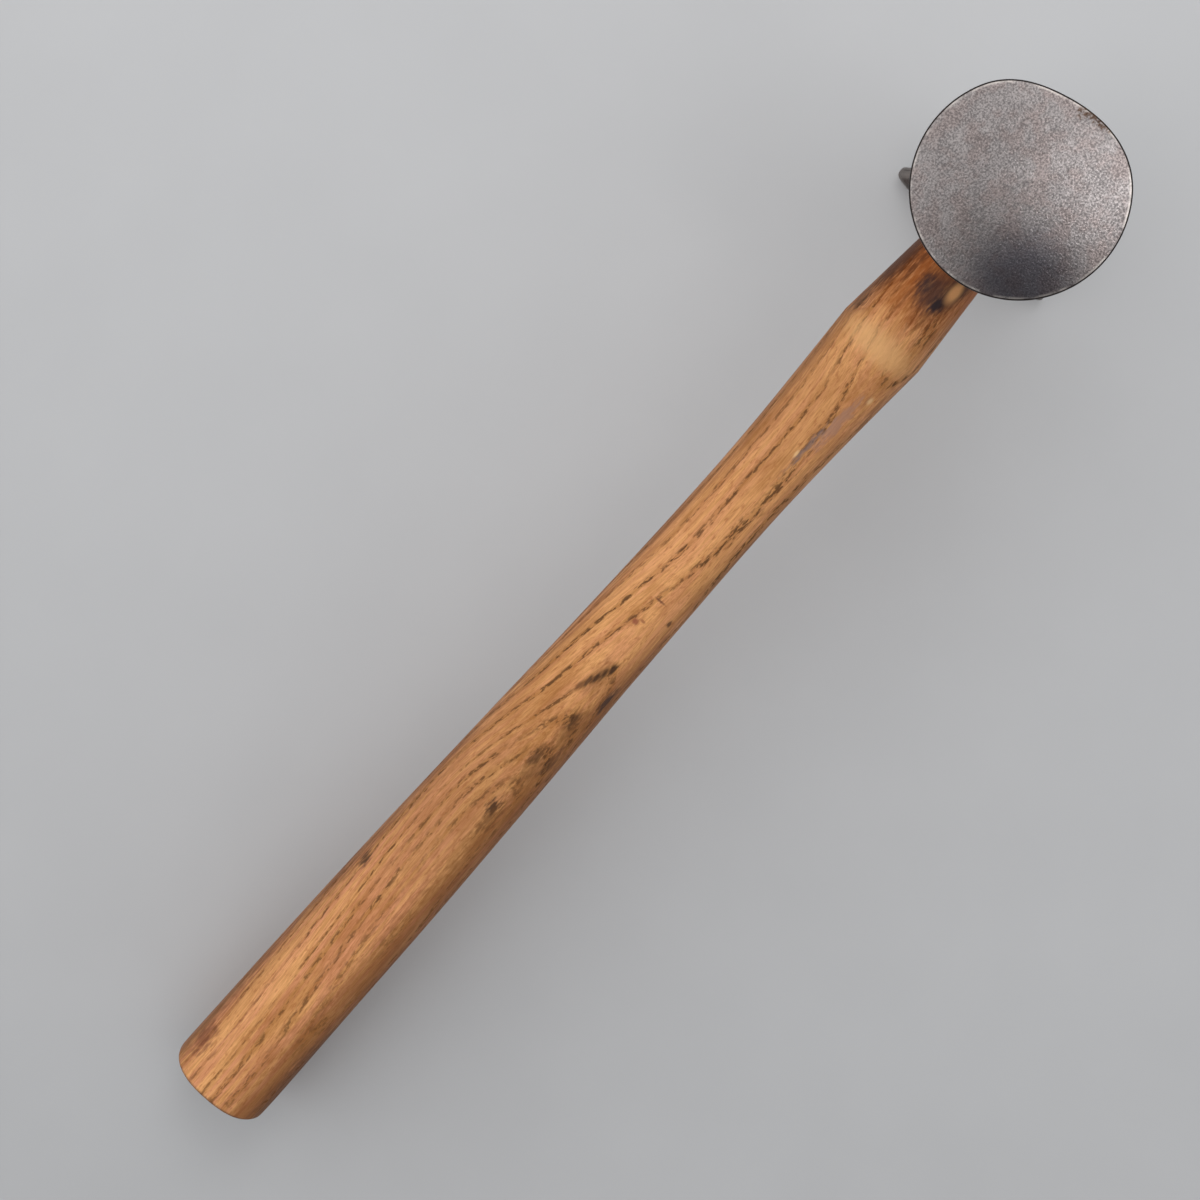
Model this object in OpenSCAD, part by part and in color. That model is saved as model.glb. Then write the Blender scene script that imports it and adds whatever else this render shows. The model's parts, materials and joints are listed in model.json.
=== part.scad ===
// Shoemaker's hammer: a forged head with a broad domed face and a curved, fanned pein, wedged
// on a carved ash handle. It stands as it rests on a bench, face up, on its pein edge and its butt.
// Units are millimetres. X runs from the butt to the head, Y across the handle, and Z is up.

/* [Face] */
// Diameter of the round striking face
face_d = 44; // [40:0.5:48]
// Height of the domed face above its rim
face_crown = 2.2; // [1:0.1:3.5]
// Radius that breaks the edge of the face
face_edge_r = 0.9; // [0.5:0.1:1.5]
// Height of the straight rim under the face
rim_h = 3.6; // [3:0.2:5]
// Depth of the side of the rim that is worn away
rim_wear = 1.9; // [0.6:0.1:3]
// Direction of the worn side, turned from the line of the handle
rim_wear_turn = 11; // [-60:1:60]
// Height of the face rim above the middle of the eye
face_reach = 44; // [42:0.5:48]
// Diameter of the round neck under the face
neck_d = 20.5; // [18:0.5:22]

/* [Cheeks] */
// Width across the cheeks at the middle of the eye
cheek_w = 26; // [25:0.5:30]
// Depth of the cheeks along the handle
cheek_depth = 25; // [22:0.5:28]
// Height of the straight part of the cheeks
cheek_h = 25; // [25:0.5:28]
// How far the cheeks narrow from their middle to their ends, on each side
cheek_bulge = 0.9; // [0.2:0.1:1.5]
// Height of the collar between the cheeks and the neck
collar_h = 6.5; // [4:0.5:8]

/* [Eye] */
// Width of the eye across the cheeks
eye_w = 15; // [13:0.25:16]
// Height of the eye
eye_h = 23; // [20:0.5:23.5]
// How far the eye flares toward its outer end, on each side
eye_flare = 0.5; // [0.2:0.1:0.7]

/* [Pein] */
// Depth of the pein below the middle of the eye, to the centre of its rounded edge
pein_reach = 60; // [54:0.5:66]
// How far the pein curves back toward the handle
pein_droop = 13.5; // [10:0.5:17]
// Width of the fanned pein edge
pein_w = 45; // [39:0.5:48]
// Thickness of the rounded pein edge
pein_t = 5; // [4:0.25:7]
// Width of the pein's waist
waist_w = 19; // [16:0.5:22]
// Depth of the waist below the middle of the eye
waist_reach = 29; // [26:0.5:33]
// How far the pein edge bows out in the middle
pein_bow = 0.8; // [0.2:0.1:2]

/* [Handle] */
// Length from the butt to the middle of the eye
handle_l = 268.5; // [250:0.5:290]
// Width of the butt
butt_w = 24.5; // [22:0.25:27]
// Depth of the butt
butt_depth = 31.5; // [28:0.5:35]
// Radius that eases the edge of the butt
butt_edge_r = 2; // [1:0.25:4]
// Distance of the palm from the butt
palm_at = 70; // [55:1:85]
// Width at the palm
palm_w = 22.6; // [20.5:0.1:24]
// Depth at the palm
palm_depth = 29.4; // [27:0.2:31]
// Distance of the throat from the butt
throat_at = 179; // [165:1:190]
// Width of the throat
throat_w = 17.6; // [15.5:0.1:19]
// Depth of the throat
throat_depth = 23.6; // [21:0.2:25]
// Distance of the shoulder from the butt
shoulder_at = 226; // [218:1:234]
// Width of the shoulder
shoulder_w = 21; // [19.5:0.25:23]
// Depth of the shoulder
shoulder_depth = 28; // [26:0.25:30]
// How far the wood stands out round the eye, on each side
seat_step = 0.45; // [0.4:0.05:0.8]
// How far the tenon stands out of the far side of the eye
tenon_proud = 1.2; // [0.5:0.1:2.5]

/* [Wedges] */
// Thickness of the wooden wedge at its outer end
wood_wedge_t = 3.4; // [2.6:0.1:4.5]
// Length of the wooden wedge
wood_wedge_l = 20; // [17:0.5:21]
// Thickness of the steel wedge at its outer end
steel_wedge_t = 2.2; // [1.6:0.1:3]
// Length of the steel wedge
steel_wedge_l = 13; // [10:0.5:15]
// Width of the steel wedge
steel_wedge_w = 10.5; // [8:0.5:11]
// Thickness of both wedges at their inner end
wedge_tip_t = 0.7; // [0.5:0.05:1]

/* [Fits] */
// Clearance between pieces that are driven together
drive_fit = 0.05; // [0.03:0.01:0.1]

/* [Hidden] */
// Corners of a lofted ring, and how many rings the lower head, the grip and the handle's neck have
sides = 40;
head_ring_count = 32;
grip_ring_count = 30;
neck_ring_count = 5;
// Steps round a small edge, and along an arc of the face's outline
round_steps = 5;
arc_steps = 12;
// Share of a rounded edge that its last ring reaches, which leaves a narrow flat to close it
round_share = 0.94;
// How far solids that are joined reach into each other
joint_overlap = 3;
// Straight part of the neck below its cove, and how far the collar stands out round the neck
neck_run = 2;
collar_lip = 0.5;
// Half angle of the worn side of the rim
wear_half_angle = 49;
// How square the sections are: 2 is an ellipse, and a higher value is fuller at the corners
collar_fullness = 2;
cheek_fullness = 5;
waist_fullness = 3;
edge_fullness = 4;
handle_fullness = 2.4;
// How quickly the pein thins, fans out and curves back
thin_power = 2.2;
fan_power = 1.7;
droop_power = 1.9;
// Depth below the middle of the eye at which the pein starts to curve
droop_start = 10;
// Height over which the direction of the middle line is taken
spine_step = 0.1;
// Slope at the shoulder beside the mean slope from the throat, for a line that ends straight
shoulder_rise = 1.5;

face_r = face_d / 2;
neck_r = neck_d / 2;
dome_r = (face_r * face_r + face_crown * face_crown) / (2 * face_crown);
dome_z = face_reach + face_crown - dome_r;
edge_ring_r = face_r - face_edge_r;
edge_z = dome_z + sqrt(pow(dome_r - face_edge_r, 2) - pow(edge_ring_r, 2));
edge_lean = atan2(edge_ring_r, edge_z - dome_z);
rim_low = edge_z - rim_h;
cheek_top = cheek_h / 2 + collar_h;
cove_low = cheek_top + neck_run;
cove_h = rim_low - cove_low;
cove_w = face_r - neck_r;
cove_r = (cove_w * cove_w + cove_h * cove_h) / (2 * cove_w);
cove_turn = asin(cove_h / cove_r);
worn_r = face_r - rim_wear;
wear_shift = (face_r * face_r - worn_r * worn_r) / (2 * (worn_r - face_r * cos(wear_half_angle)));
wear_r = worn_r + wear_shift;
collar_r = neck_r + collar_lip;
edge_r = pein_t / 2;

neck_w = eye_w + 2 * seat_step;
neck_depth = eye_h + 2 * seat_step;
neck_end = -cheek_depth / 2 - drive_fit;
tenon_end = cheek_depth / 2 + tenon_proud;

// Lines that the handle's width and depth follow: butt, palm, throat, shoulder and head end
handle_at = [0, palm_at, throat_at, shoulder_at, handle_l + neck_end];
handle_widths = [butt_w, palm_w, throat_w, shoulder_w, neck_w];
handle_depths = [butt_depth, palm_depth, throat_depth, shoulder_depth, neck_depth];

// The hammer tips until the butt's lower edge and the pein edge touch the bench together
butt_rest = [-handle_l + butt_edge_r, -butt_depth / 2 + butt_edge_r];
pein_rest = [-pein_droop, -pein_reach];
rest_run = pein_rest - butt_rest;
rest_tilt = acos((butt_edge_r - edge_r) / norm(rest_run)) - atan2(rest_run[0], -rest_run[1]);
rest_lift = butt_edge_r - butt_rest[0] * sin(rest_tilt) - butt_rest[1] * cos(rest_tilt);
back_x = butt_rest[0] * cos(rest_tilt) + butt_rest[1] * sin(rest_tilt) - butt_edge_r;
front_x = max(
    worn_r * cos(rest_tilt) - edge_z * sin(rest_tilt),
    tenon_end * cos(rest_tilt) + (eye_h / 2 + eye_flare) * sin(rest_tilt)
);
rest_shift = -(back_x + front_x) / 2;

function mix(a, b, u) = a + (b - a) * u;
function ease(u) = u * u * (3 - 2 * u);
function signed_power(v, p) = sign(v) * pow(abs(v), p);

// A curve between two values with a slope at each end, over a span
function blend(a, b, slope_a, slope_b, span, u) =
    a * (1 + 2 * u) * pow(1 - u, 2)
    + b * u * u * (3 - 2 * u)
    + span * u * (1 - u) * (slope_a * (1 - u) - slope_b * u);

// A closed section with half sizes a and b
function section(a, b, fullness) = [
    for (i = [0 : sides - 1])
        let (turn = 360 * i / sides)
        [a * signed_power(cos(turn), 2 / fullness), b * signed_power(sin(turn), 2 / fullness)]
];

function arc(centre, r, from, to) = [
    for (i = [0 : arc_steps])
        let (turn = mix(from, to, i / arc_steps))
        centre + r * [cos(turn), sin(turn)]
];

// Width or depth of the handle at a distance from the butt
function palm_slope(v) = (v[2] - v[0]) / handle_at[2];
function handle_size(at, v) =
    at < palm_at ?
        let (slope = 2 * (v[1] - v[0]) / palm_at - palm_slope(v))
        blend(v[0], v[1], slope, palm_slope(v), palm_at, at / palm_at)
    : at < throat_at ?
        let (span = throat_at - palm_at)
        blend(v[1], v[2], palm_slope(v), 0, span, (at - palm_at) / span)
    : at < shoulder_at ?
        let (span = shoulder_at - throat_at)
        blend(v[2], v[3], 0, shoulder_rise * (v[3] - v[2]) / span, span, (at - throat_at) / span)
    :
        mix(v[3], v[4], (at - shoulder_at) / (handle_at[4] - shoulder_at));

// One ring of the handle, drawn in by inset all round
function handle_ring(at, inset = 0) = [
    for (p = section(
            handle_size(at, handle_widths) / 2 - inset,
            handle_size(at, handle_depths) / 2 - inset,
            handle_fullness))
        [at - handle_l, p[0], p[1]]
];

// Rings from the butt's eased edge along the grip to the shoulder, and on down the neck to the head
function handle_rings() = concat(
    [
        for (i = [0 : round_steps])
            let (turn = 90 * (1 - i / round_steps))
            handle_ring(butt_edge_r * (1 - sin(turn)), butt_edge_r * (1 - cos(turn)))
    ],
    [for (i = [1 : grip_ring_count]) handle_ring(mix(butt_edge_r, shoulder_at, i / grip_ring_count))],
    [for (i = [1 : neck_ring_count]) handle_ring(mix(shoulder_at, handle_at[4], i / neck_ring_count))]
);

// Half width, half depth and fullness of the lower head at a height z
function below_cheeks(z) = (-z - cheek_h / 2) / (pein_reach - cheek_h / 2);
function above_cheeks(z) = (z - cheek_h / 2) / collar_h;
function cheek_end() = cheek_w / 2 - cheek_bulge;
function waist_share() = below_cheeks(-waist_reach);
function head_half_w(z) =
    z > cheek_h / 2 ? mix(cheek_end(), collar_r, ease(above_cheeks(z)))
    : z > -cheek_h / 2 ? cheek_w / 2 - cheek_bulge * pow(2 * z / cheek_h, 2)
    : z > -waist_reach ? mix(cheek_end(), waist_w / 2, ease(below_cheeks(z) / waist_share()))
    : mix(waist_w / 2, pein_w / 2,
        pow((below_cheeks(z) - waist_share()) / (1 - waist_share()), fan_power));
function head_half_d(z) =
    z > cheek_h / 2 ? mix(cheek_depth / 2, collar_r, ease(above_cheeks(z)))
    : z > -cheek_h / 2 ? cheek_depth / 2
    : mix(edge_r, cheek_depth / 2, pow(max(0, 1 - below_cheeks(z)), thin_power));
function head_fullness(z) =
    z > cheek_h / 2 ? mix(cheek_fullness, collar_fullness, above_cheeks(z))
    : z > -cheek_h / 2 ? cheek_fullness
    : z > -waist_reach ? mix(cheek_fullness, waist_fullness, below_cheeks(z) / waist_share())
    : mix(waist_fullness, edge_fullness,
        (below_cheeks(z) - waist_share()) / (1 - waist_share()));

// The middle line of the head, which curves back toward the handle below the eye
function spine(z) = [
    -pein_droop * pow(max(0, (-z - droop_start) / (pein_reach - droop_start)), droop_power),
    z
];
function spine_way(z) =
    let (step = spine(z - spine_step) - spine(z + spine_step))
    step / norm(step);

// One ring of the lower head, square to the middle line, moved on along it past its end by beyond
function head_ring(z, inset_w = 0, half_d = 0, beyond = 0) =
    let (middle = spine(z))
    let (way = spine_way(z))
    let (half_w = head_half_w(z) - inset_w)
    let (bow = pein_bow * max(0, below_cheeks(z)))
    [
        for (p = section(half_w, half_d > 0 ? half_d : head_half_d(z), head_fullness(z)))
            let (on = beyond - bow * pow(p[0] / half_w, 2))
            [
                middle[0] + way[0] * on - way[1] * p[1],
                p[0],
                middle[1] + way[1] * on + way[0] * p[1]
            ]
    ];

// Rings from the collar down to the pein, and round its edge
function head_rings() = concat(
    [for (i = [0 : head_ring_count]) head_ring(mix(cheek_top, -pein_reach, i / head_ring_count))],
    [
        for (i = [1 : round_steps])
            let (on = sin(90 * round_share * i / round_steps))
            let (left = sqrt(1 - on * on))
            head_ring(-pein_reach, edge_r * (1 - left), edge_r * left, edge_r * on)
    ]
);

// Outline of the face, rim, cove and neck, from the axis outward and back over the dome
function bell_outline() = concat(
    [[0, cheek_top - joint_overlap], [neck_r, cheek_top - joint_overlap]],
    arc([neck_r + cove_r, cove_low], cove_r, 180, 180 - cove_turn),
    arc([edge_ring_r, edge_z], face_edge_r, 0, 90 - edge_lean),
    arc([0, dome_z], dome_r, 90 - edge_lean, 90)
);

function eye_r(x) = eye_w / 2 + eye_flare * (x / cheek_depth + 0.5);

// Joins rings of points into one closed solid, each end closed by strips across it
module loft(rings) {
    last = (len(rings) - 1) * sides;
    walls = [
        for (k = [0 : len(rings) - 2], i = [0 : sides - 1])
            let (a = k * sides + i)
            let (b = k * sides + (i + 1) % sides)
            each [[a, a + sides, b + sides], [a, b + sides, b]]
    ];
    strips = concat(
        [for (i = [0 : sides / 2 - 2]) [i, i + 1, sides - i - 1]],
        [for (i = [1 : sides / 2 - 1]) [i, sides - i - 1, sides - i]]
    );
    far_strips = [for (f = strips) [last + f[2], last + f[1], last + f[0]]];
    polyhedron([for (r = rings) each r], concat(walls, strips, far_strips), convexity = 8);
}

// Puts the hammer as it lies on the bench
module at_rest() {
    translate([rest_shift, 0, rest_lift]) rotate([0, -rest_tilt, 0]) children();
}

// The flared eye between two places along the handle, drawn in by inset
module eye_solid(from, to, inset) {
    half_run = (eye_h - eye_w) / 2;
    near_r = eye_r(from) - inset;
    far_r = eye_r(to) - inset;
    for (side = [-1, 1])
        translate([from, 0, side * half_run])
            rotate([0, 90, 0])
                cylinder(h = to - from, r1 = near_r, r2 = far_r, $fn = 96);
    translate([0, 0, -half_run])
        linear_extrude(2 * half_run)
            polygon([[from, -near_r], [to, -far_r], [to, far_r], [from, near_r]]);
}

// A wedge driven in from the end of the tenon, with its thickness along Y, grown by fit
module wedge_solid(l, t, w, fit, beyond) {
    slope = (t - wedge_tip_t) / (2 * l);
    tip = tenon_end - l - fit;
    outer = tenon_end + beyond;
    tip_half = wedge_tip_t / 2 + fit;
    outer_half = tip_half + slope * (outer - tip);
    translate([0, 0, -w / 2 - fit])
        linear_extrude(w + 2 * fit)
            polygon([[tip, -tip_half], [outer, -outer_half], [outer, outer_half], [tip, tip_half]]);
}

module wood_wedge_solid(fit = 0, beyond = 0) {
    wedge_solid(wood_wedge_l, wood_wedge_t, 2 * eye_h, fit, beyond);
}

// The steel wedge is driven across the wooden one
module steel_wedge_solid(fit = 0, beyond = 0) {
    rotate([90, 0, 0]) wedge_solid(steel_wedge_l, steel_wedge_t, steel_wedge_w, fit, beyond);
}

module hammer_head() {
    color("dimgray")
        at_rest()
            difference() {
                union() {
                    intersection() {
                        rotate_extrude($fn = 96) polygon(bell_outline());
                        rotate(rim_wear_turn)
                            translate([-wear_shift, 0, 0])
                                cylinder(h = 2 * face_reach, r = wear_r, $fn = 180);
                    }
                    loft(head_rings());
                }
                eye_solid(-cheek_depth, cheek_depth, 0);
            }
}

module handle() {
    color("peru")
        at_rest()
            difference() {
                union() {
                    loft(handle_rings());
                    eye_solid(neck_end - joint_overlap, tenon_end, drive_fit);
                }
                wood_wedge_solid(drive_fit, joint_overlap);
                steel_wedge_solid(drive_fit, joint_overlap);
            }
}

module wooden_wedge() {
    color("burlywood")
        at_rest()
            difference() {
                intersection() {
                    wood_wedge_solid();
                    eye_solid(neck_end, tenon_end, drive_fit);
                }
                steel_wedge_solid(drive_fit, joint_overlap);
            }
}

module steel_wedge() {
    color("slategray") at_rest() steel_wedge_solid();
}

hammer_head();
handle();
wooden_wedge();
steel_wedge();
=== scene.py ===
# %% [markdown]
# # A shoemaker's hammer
# The hammer lies face up, on the edge of its pein and the butt of its handle, and is seen from
# straight above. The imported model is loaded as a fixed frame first. Every piece made here is
# placed by that frame, so nothing has to be fitted by eye afterwards.

# %% Load the frame
import json

import bmesh
import bpy
import numpy as np
from mathutils import Matrix, noise


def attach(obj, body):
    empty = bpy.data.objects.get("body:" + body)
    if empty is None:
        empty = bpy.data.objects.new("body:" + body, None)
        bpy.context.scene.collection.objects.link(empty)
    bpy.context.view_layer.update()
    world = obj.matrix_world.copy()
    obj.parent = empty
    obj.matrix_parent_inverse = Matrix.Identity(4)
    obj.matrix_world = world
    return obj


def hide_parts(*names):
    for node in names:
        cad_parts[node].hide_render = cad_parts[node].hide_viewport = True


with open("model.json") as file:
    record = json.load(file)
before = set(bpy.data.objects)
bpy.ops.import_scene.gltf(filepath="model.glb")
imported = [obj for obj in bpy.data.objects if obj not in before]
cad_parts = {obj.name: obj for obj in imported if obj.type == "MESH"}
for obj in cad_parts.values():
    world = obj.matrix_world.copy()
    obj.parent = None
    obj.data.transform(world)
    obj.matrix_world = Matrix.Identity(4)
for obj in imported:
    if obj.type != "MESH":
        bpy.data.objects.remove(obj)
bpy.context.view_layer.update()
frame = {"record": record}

# %% [markdown]
# ## The hammer's own axes
# The hammer lies tilted, so it is easier to shape in axes of its own: along the handle, across
# it, and up toward the face. Two mounts in the record give them. The butt's mount looks out along
# the handle, and the face's mount looks out of the face. Where their two lines cross is the
# middle of the eye. Sizes below are in millimetres, and `place` turns them into the frame's
# metres.

# %% Axes of the hammer
MM = 0.001
mounts = {mount["name"]: mount for mount in frame["record"]["mounts"]}
butt = np.array(mounts["butt_end"]["pos_m"])
face_top = np.array(mounts["striking_face"]["pos_m"])
ALONG = -np.array(mounts["butt_end"]["axis"])
UP = np.array(mounts["striking_face"]["axis"])
ACROSS = np.cross(UP, ALONG)
HANDLE_L = (face_top - butt) @ ALONG / MM
FACE_TOP = (face_top - butt) @ UP / MM


def place(points):
    """Moves points from the hammer's axes, in millimetres from the butt, to the frame."""
    points = np.asarray(points, float)
    return butt + MM * (points @ np.array([ALONG, ACROSS, UP]))


def measure(points):
    """Moves points from the frame back to the hammer's axes, in millimetres."""
    return (np.asarray(points, float) - butt) @ np.array([ALONG, ACROSS, UP]).T / MM


print(f"butt to eye {HANDLE_L:.1f} mm, face {FACE_TOP:.1f} mm above the handle's axis")

# %% [markdown]
# ## The camera
# The picture looks straight down. Its round face is a true circle off to one side, which fixes
# the height of the camera: seen from there, the tilt of the face and the slant of the view
# cancel. A long lens on a camera 680 mm above the bench gives the same narrowing from the head to
# the butt.

# %% Camera
CAMERA_HEIGHT = 0.680
CAMERA_AHEAD_OF_BUTT = 0.14006
CAMERA_ACROSS = 0.00817
CAMERA_TURN = -48.364
CAMERA_LENS = 86.9
SENSOR_WIDTH = 36.0

camera_data = bpy.data.cameras.new("camera_above")
camera_data.lens = CAMERA_LENS
camera_data.sensor_width = SENSOR_WIDTH
camera = bpy.data.objects.new("camera_above", camera_data)
camera.location = (butt[0] + CAMERA_AHEAD_OF_BUTT, CAMERA_ACROSS, CAMERA_HEIGHT)
camera.rotation_euler = (0.0, 0.0, np.radians(CAMERA_TURN))
bpy.context.scene.collection.objects.link(camera)
bpy.context.scene.camera = camera
bpy.context.scene.view_settings.view_transform = "Standard"
print("camera at", [round(v, 3) for v in camera.location])

# %% [markdown]
# ## Small tools for shader nodes
# Materials here are built from nodes in code. `add` makes one node: names that start with a
# capital are its inputs, and the others are its settings. An input takes a plain value, or the
# output of another node. The others are short names for what every material needs: arithmetic, a
# map from one range to another, a mix of two colours, noise, and groups with named sockets.

# %% Nodes and arithmetic


def join(tree, socket, value):
    """Sets an input to a value, or links another node's output to it."""
    if isinstance(value, bpy.types.NodeSocket):
        tree.links.new(value, socket)
    else:
        socket.default_value = value


def add(tree, kind, **values):
    """Adds a node. Capital names are inputs, with _ for a space, and others are settings."""
    made = tree.nodes.new("ShaderNode" + kind)
    for name, value in values.items():
        if name[0].islower():
            setattr(made, name, value)
    for name, value in values.items():
        if not name[0].islower():
            join(tree, made.inputs[name.replace("_", " ")], value)
    return made


def calc(tree, operation, *values):
    """One step of arithmetic on numbers."""
    made = tree.nodes.new("ShaderNodeMath")
    made.operation = operation
    for socket, value in zip(made.inputs, values):
        join(tree, socket, value)
    return made.outputs[0]


def times(tree, first, second):
    """Multiplies two numbers."""
    return calc(tree, "MULTIPLY", first, second)


def vector_calc(tree, operation, *values, output=0):
    """One step of arithmetic on vectors."""
    made = tree.nodes.new("ShaderNodeVectorMath")
    made.operation = operation
    for socket, value in zip(made.inputs, values):
        join(tree, socket, value)
    return made.outputs[output]


def one_way(tree, vector, way):
    """How far a vector goes one way."""
    return vector_calc(tree, "DOT_PRODUCT", vector, tuple(way), output=1)


print("nodes are added by", add.__name__, "and joined by", join.__name__)

# %% Ranges, colours and noise


def between(tree, value, low, high, to_low=0.0, to_high=1.0, smooth=True):
    """Maps a range of values to another range, held at its ends."""
    ends = {"From_Min": low, "From_Max": high, "To_Min": to_low, "To_Max": to_high}
    made = add(tree, "MapRange", Value=value, **ends)
    made.interpolation_type = "SMOOTHSTEP" if smooth else "LINEAR"
    return made.outputs[0]


def blend(tree, amount, first, second, how="MIX"):
    """Mixes two colours."""
    made = tree.nodes.new("ShaderNodeMix")
    made.data_type = "RGBA"
    made.blend_type = how
    join(tree, made.inputs[0], amount)
    join(tree, made.inputs[6], first)
    join(tree, made.inputs[7], second)
    return made.outputs[2]


def speckle(tree, vector, scale, detail=2.0, roughness=0.5):
    """Noise between 0 and 1."""
    made = add(tree, "TexNoise", Vector=vector, Scale=scale, Detail=detail, Roughness=roughness)
    return made.outputs["Fac"]


def stretch(tree, vector, length, width):
    """Draws a pattern out along the handle, to a size along it and across it."""
    return vector_calc(tree, "DIVIDE", vector, (length, width, width))


def streaky(tree, vector, length, width, detail=2.0, roughness=0.5):
    """Noise between 0 and 1, drawn out along the handle."""
    return speckle(tree, stretch(tree, vector, length, width), 1.0, detail, roughness)


def paint(red, green, blue):
    """A colour written as it shows on a screen, from 0 to 255."""
    shown = np.array([red, green, blue]) / 255
    linear = np.where(shown <= 0.04045, shown / 12.92, ((shown + 0.055) / 1.055) ** 2.4)
    return (*linear, 1.0)


print("white is", paint(255, 255, 255))

# %% Groups and materials


def new_group(name, inputs, outputs):
    """An empty shader node group with named sockets, given as {name: kind}."""
    tree = bpy.data.node_groups.new(name, "ShaderNodeTree")
    for socket, kind in inputs.items():
        tree.interface.new_socket(socket, in_out="INPUT", socket_type="NodeSocket" + kind)
    for socket, kind in outputs.items():
        tree.interface.new_socket(socket, in_out="OUTPUT", socket_type="NodeSocket" + kind)
    return tree, tree.nodes.new("NodeGroupInput").outputs, tree.nodes.new("NodeGroupOutput").inputs


def use_group(tree, group, **values):
    """Places a node group in a material or in another group."""
    made = tree.nodes.new("ShaderNodeGroup")
    made.node_tree = group
    for name, value in values.items():
        join(tree, made.inputs[name.replace("_", " ")], value)
    return made.outputs


def new_material(name):
    """A material with a Principled shader, and that shader's inputs."""
    made = bpy.data.materials.new(name)
    made.use_nodes = True
    return made, made.node_tree, made.node_tree.nodes["Principled BSDF"].inputs


def bump(tree, shader, height, strength, depth):
    """Lets a pattern of heights tilt the light on a surface, by a depth in millimetres."""
    made = add(tree, "Bump", Height=height, Strength=strength, Distance=depth * MM)
    join(tree, shader["Normal"], made.outputs[0])


print("node helpers ready")

# %% [markdown]
# ## Floor and light
# The hammer lies on plain pale paper. Its colour is painted a little lighter toward the top of the
# picture, as painted light that falls off across the floor. All the light comes from a pale sky, as
# from a big tent of white cloth: brighter toward one side and overhead, so that the shadow hugs the
# handle and is deeper near the viewer. Four soft patches in it, a window, a dim side, a lamp and
# the dark end of the room, are there for the satin face, which mirrors them and would look dead
# otherwise.

# %% Directions in the picture
IMAGE_RIGHT = np.array([np.cos(np.radians(CAMERA_TURN)), np.sin(np.radians(CAMERA_TURN)), 0.0])
IMAGE_UP = np.array([-IMAGE_RIGHT[1], IMAGE_RIGHT[0], 0.0])
STRAIGHT_UP = np.array([0.0, 0.0, 1.0])
print("picture's right is", IMAGE_RIGHT.round(3).tolist())

# %% Paper floor
FLOOR_SIDE = 6.0
PAINTED_LIGHT_HALF, PAINTED_LIGHT_TO_RIGHT = 0.16, 0.12
PAPER_LOW, PAPER_HIGH = paint(174, 175, 177), paint(197, 198, 200)
MOTTLE_SCALE, MOTTLE = 30.0, 0.25

floor_mesh = bpy.data.meshes.new("paper_floor")
half = FLOOR_SIDE / 2
corners = [(-half, -half, 0), (half, -half, 0), (half, half, 0), (-half, half, 0)]
floor_mesh.from_pydata(corners, [], [(0, 1, 2, 3)])
floor = bpy.data.objects.new("paper_floor", floor_mesh)
bpy.context.scene.collection.objects.link(floor)

paper, tree, shader = new_material("pale_paper")
spot = add(tree, "TexCoord").outputs["Object"]
# Painted light: the paper is painted lighter toward the top of the picture, with a real mottle over it.
toward_painted_light = one_way(tree, spot, IMAGE_UP + PAINTED_LIGHT_TO_RIGHT * IMAGE_RIGHT)
painted_light_and_mottle = between(tree, toward_painted_light, -PAINTED_LIGHT_HALF, PAINTED_LIGHT_HALF, smooth=False)
mottle = calc(tree, "SUBTRACT", speckle(tree, spot, MOTTLE_SCALE, detail=4.0), 0.5)
painted_light_and_mottle = calc(tree, "MULTIPLY_ADD", mottle, MOTTLE, painted_light_and_mottle)
join(tree, shader["Base Color"], blend(tree, painted_light_and_mottle, PAPER_LOW, PAPER_HIGH))
shader["Roughness"].default_value = 0.9
shader["Specular IOR Level"].default_value = 0.1
floor_mesh.materials.append(paper)
print("floor", FLOOR_SIDE, "m wide")

# %% Sky
SKY_LEVEL = 0.95
SKY_TO_RIGHT, SKY_TO_UP, SKY_OVERHEAD = -0.53, -0.07, 0.35
SKY_EVEN = 0.6
SKY_PATCHES = (
    ("window", (0.27, -0.19), 2.3, 20.0),
    ("dim side", (-0.42, -0.08), -0.22, 22.0),
    ("lamp", (0.20, 0.53), 2.6, 15.0),
    ("dark end", (-0.06, -0.55), -0.97, 31.0),
)
PATCH_CORE = 0.36

world = bpy.data.worlds.new("studio_sky")
bpy.context.scene.world = world
world.use_nodes = True
tree = world.node_tree
way = add(tree, "TexCoord").outputs["Generated"]
lean = SKY_TO_RIGHT * IMAGE_RIGHT + SKY_TO_UP * IMAGE_UP + SKY_OVERHEAD * STRAIGHT_UP
level = calc(tree, "ADD", one_way(tree, way, lean), 1.0 - SKY_OVERHEAD * SKY_EVEN)
level = times(tree, level, SKY_LEVEL)
for _, (right, up), gain, reach in SKY_PATCHES:
    toward = right * IMAGE_RIGHT + up * IMAGE_UP
    toward = toward + np.sqrt(1 - toward @ toward) * STRAIGHT_UP
    edge, core = np.cos(np.radians([reach, reach * PATCH_CORE]))
    patch = between(tree, one_way(tree, way, toward), edge, core)
    level = times(tree, level, calc(tree, "MULTIPLY_ADD", patch, gain, 1.0))
join(tree, tree.nodes["Background"].inputs["Strength"], level)
tree.nodes["Background"].inputs["Color"].default_value = (1.0, 1.0, 1.0, 1.0)
print("sky with patches:", ", ".join(name for name, *_ in SKY_PATCHES))

# %% [markdown]
# ## Lofting closed rings
# The handle and the head are both long forms whose section changes all the way. Box modelling
# with a subdivision surface would do, but a loft is closer to how a maker thinks: a row of
# sections, each a rounded oval, joined into one skin. The oval is a superellipse: a fullness of 2
# is an ellipse, and more is squarer. Points are spread evenly round each section, so the skin has
# no crowded corners.

# %% Loft helpers
SIDES = 220
OUTLINE_POINTS = 1440


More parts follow.
